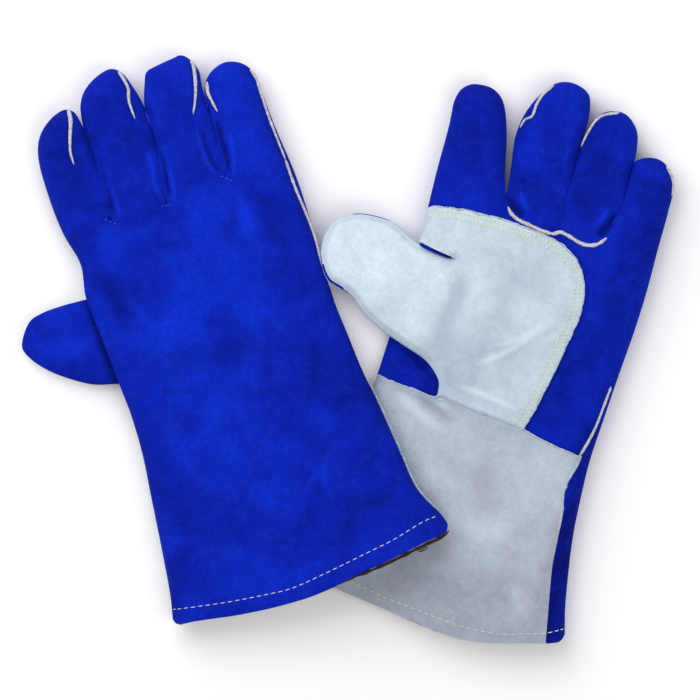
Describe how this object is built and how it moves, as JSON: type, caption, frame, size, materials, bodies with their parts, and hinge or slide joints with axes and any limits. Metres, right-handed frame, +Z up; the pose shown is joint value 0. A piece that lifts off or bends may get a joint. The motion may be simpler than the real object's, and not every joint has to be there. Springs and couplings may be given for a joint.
{
  "type": "welding gloves",
  "caption": "Pair of suede leather welding gauntlets lying overlapped, one back up and one palm up, with bending fingers and thumbs and open lined cuffs.",
  "frame": {"origin": "on the bench, under the middle of the pair's bounding box", "axes": "+Z up from the bench; +X across the pair towards the palm-up left-hand glove; +Y towards the fingertips"},
  "size_m": [0.4216, 0.3702, 0.0457],
  "materials": {
    "blue_split_leather": "suede nap",
    "grey_split_leather": "suede nap",
    "welt_strip": "cut edge",
    "cotton_fleece": "brushed",
    "canvas": "plain weave"
  },
  "bodies": {
    "left_hand": {"left_back_leather": "blue_split_leather", "left_palm_leather": "blue_split_leather", "left_gauntlet_front": "grey_split_leather", "left_palm_patch": "grey_split_leather", "left_hand_lining": "cotton_fleece", "left_cuff_lining": "canvas", "left_thumb_side_welt": "welt_strip", "left_little_side_welt": "welt_strip", "left_base_welt": "welt_strip"},
    "left_index": {"left_index_back": "blue_split_leather", "left_index_front": "blue_split_leather", "left_index_lining": "cotton_fleece", "left_index_welt": "welt_strip"},
    "left_middle": {"left_middle_back": "blue_split_leather", "left_middle_front": "blue_split_leather", "left_middle_lining": "cotton_fleece", "left_middle_welt": "welt_strip"},
    "left_ring": {"left_ring_back": "blue_split_leather", "left_ring_front": "blue_split_leather", "left_ring_lining": "cotton_fleece", "left_ring_welt": "welt_strip"},
    "left_little": {"left_little_back": "blue_split_leather", "left_little_front": "blue_split_leather", "left_little_lining": "cotton_fleece", "left_little_welt": "welt_strip"},
    "left_thumb": {"left_thumb_back": "blue_split_leather", "left_thumb_front": "grey_split_leather", "left_thumb_lining": "cotton_fleece", "left_thumb_welt": "welt_strip"},
    "right_hand": {"right_back_leather": "blue_split_leather", "right_palm_leather": "blue_split_leather", "right_gauntlet_front": "grey_split_leather", "right_palm_patch": "grey_split_leather", "right_hand_lining": "cotton_fleece", "right_cuff_lining": "canvas", "right_thumb_side_welt": "welt_strip", "right_little_side_welt": "welt_strip", "right_base_welt": "welt_strip"},
    "right_index": {"right_index_back": "blue_split_leather", "right_index_front": "blue_split_leather", "right_index_lining": "cotton_fleece", "right_index_welt": "welt_strip"},
    "right_middle": {"right_middle_back": "blue_split_leather", "right_middle_front": "blue_split_leather", "right_middle_lining": "cotton_fleece", "right_middle_welt": "welt_strip"},
    "right_ring": {"right_ring_back": "blue_split_leather", "right_ring_front": "blue_split_leather", "right_ring_lining": "cotton_fleece", "right_ring_welt": "welt_strip"},
    "right_little": {"right_little_back": "blue_split_leather", "right_little_front": "blue_split_leather", "right_little_lining": "cotton_fleece", "right_little_welt": "welt_strip"},
    "right_thumb": {"right_thumb_back": "blue_split_leather", "right_thumb_front": "grey_split_leather", "right_thumb_lining": "cotton_fleece", "right_thumb_welt": "welt_strip"}
  },
  "joints": [
    {"name": "right_glove_lift", "type": "slide", "parent": "left_hand", "child": "right_hand", "axis": [0, 0, 1], "range_m": [0, 0.15]},
    {"name": "left_index_bend", "type": "hinge", "parent": "left_hand", "child": "left_index", "pos_m": [0.07789, 0.10277, 0.017], "axis": [0.9613, -0.2756, 0], "range_deg": [0, 70]},
    {"name": "left_middle_bend", "type": "hinge", "parent": "left_hand", "child": "left_middle", "pos_m": [0.12085, 0.09045, 0.017], "axis": [0.9613, -0.2756, 0], "range_deg": [0, 70]},
    {"name": "left_ring_bend", "type": "hinge", "parent": "left_hand", "child": "left_ring", "pos_m": [0.15517, 0.08061, 0.017], "axis": [0.9613, -0.2756, 0], "range_deg": [0, 70]},
    {"name": "left_little_bend", "type": "hinge", "parent": "left_hand", "child": "left_little", "pos_m": [0.18651, 0.07162, 0.017], "axis": [0.9613, -0.2756, 0], "range_deg": [0, 70]},
    {"name": "left_thumb_bend", "type": "hinge", "parent": "left_hand", "child": "left_thumb", "pos_m": [0.0581, 0.0247, 0.0238], "axis": [0.2756, 0.9613, 0], "range_deg": [0, 70]},
    {"name": "right_index_bend", "type": "hinge", "parent": "right_hand", "child": "right_index", "pos_m": [-0.16945, 0.08169, 0.0068], "axis": [-0.9483, -0.3173, 0], "range_deg": [-25, 70]},
    {"name": "right_middle_bend", "type": "hinge", "parent": "right_hand", "child": "right_middle", "pos_m": [-0.13541, 0.09308, 0.0068], "axis": [-0.9483, -0.3173, 0], "range_deg": [-25, 70]},
    {"name": "right_ring_bend", "type": "hinge", "parent": "right_hand", "child": "right_ring", "pos_m": [-0.09643, 0.10612, 0.0068], "axis": [-0.9483, -0.3173, 0], "range_deg": [-25, 70]},
    {"name": "right_little_bend", "type": "hinge", "parent": "right_hand", "child": "right_little", "pos_m": [-0.05783, 0.11904, 0.0068], "axis": [-0.9483, -0.3173, 0], "range_deg": [-25, 70]},
    {"name": "right_thumb_bend", "type": "hinge", "parent": "right_hand", "child": "right_thumb", "pos_m": [-0.12731, 0.00932, 0], "axis": [0.3173, -0.9483, 0], "range_deg": [0, 70]}
  ]
}
